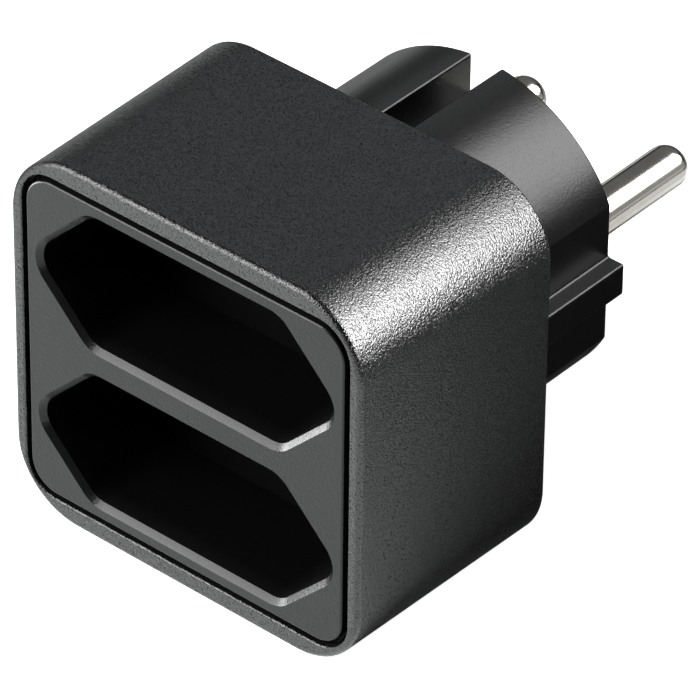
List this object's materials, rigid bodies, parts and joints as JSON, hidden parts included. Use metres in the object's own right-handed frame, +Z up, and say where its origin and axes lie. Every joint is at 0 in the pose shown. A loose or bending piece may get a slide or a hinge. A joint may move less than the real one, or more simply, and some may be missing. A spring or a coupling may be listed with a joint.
{
  "type": "double socket adapter",
  "caption": "Anthracite two-way adapter with a round grooved two-pin plug behind and flat six-sided sockets one above the other in front.",
  "frame": {"origin": "middle of the plug's end face, halfway between the two pins", "axes": "+Y along the pins out of the plug, +Z up, sockets facing -Y, +X to the right seen from the sockets"},
  "size_m": [0.047, 0.0661, 0.0446],
  "materials": {
    "anthracite_shell": "fine spark-eroded grain",
    "anthracite_panel": "smooth satin",
    "anthracite_plug": "smooth satin",
    "grey_inner": "plain moulded",
    "shutter_plastic": "plain moulded, dark",
    "nickel": "bright nickel plate",
    "brass": "plain stamped",
    "spring_steel": "bright drawn wire",
    "zinc_steel": "zinc plated"
  },
  "bodies": {
    "adapter": {"contact_holder": "grey_inner", "contact_sleeve_lower_left": "brass", "contact_sleeve_lower_right": "brass", "contact_sleeve_upper_left": "brass", "contact_sleeve_upper_right": "brass", "front_panel": "anthracite_panel", "grip_ring_lower_left": "spring_steel", "grip_ring_lower_right": "spring_steel", "grip_ring_upper_left": "spring_steel", "grip_ring_upper_right": "spring_steel", "housing": "anthracite_shell", "housing_screw": "zinc_steel", "plug_base": "anthracite_plug", "plug_pin_left": "nickel", "plug_pin_right": "nickel", "shutter_cover": "grey_inner", "spring_lower": "spring_steel", "spring_upper": "spring_steel", "strip_left": "brass", "strip_right": "brass"},
    "upper_shutter": {"shutter_upper": "shutter_plastic"},
    "lower_shutter": {"shutter_lower": "shutter_plastic"}
  },
  "joints": [
    {"name": "shutter_upper_slide", "type": "slide", "parent": "adapter", "child": "upper_shutter", "axis": [0, 0, 1], "range_m": [0, 0.00525], "stiffness_N_per_m": 150, "springref_m": -0.004, "deforming": ["spring_upper"]},
    {"name": "shutter_lower_slide", "type": "slide", "parent": "adapter", "child": "lower_shutter", "axis": [0, 0, -1], "range_m": [0, 0.00525], "stiffness_N_per_m": 150, "springref_m": -0.004, "deforming": ["spring_lower"]}
  ]
}
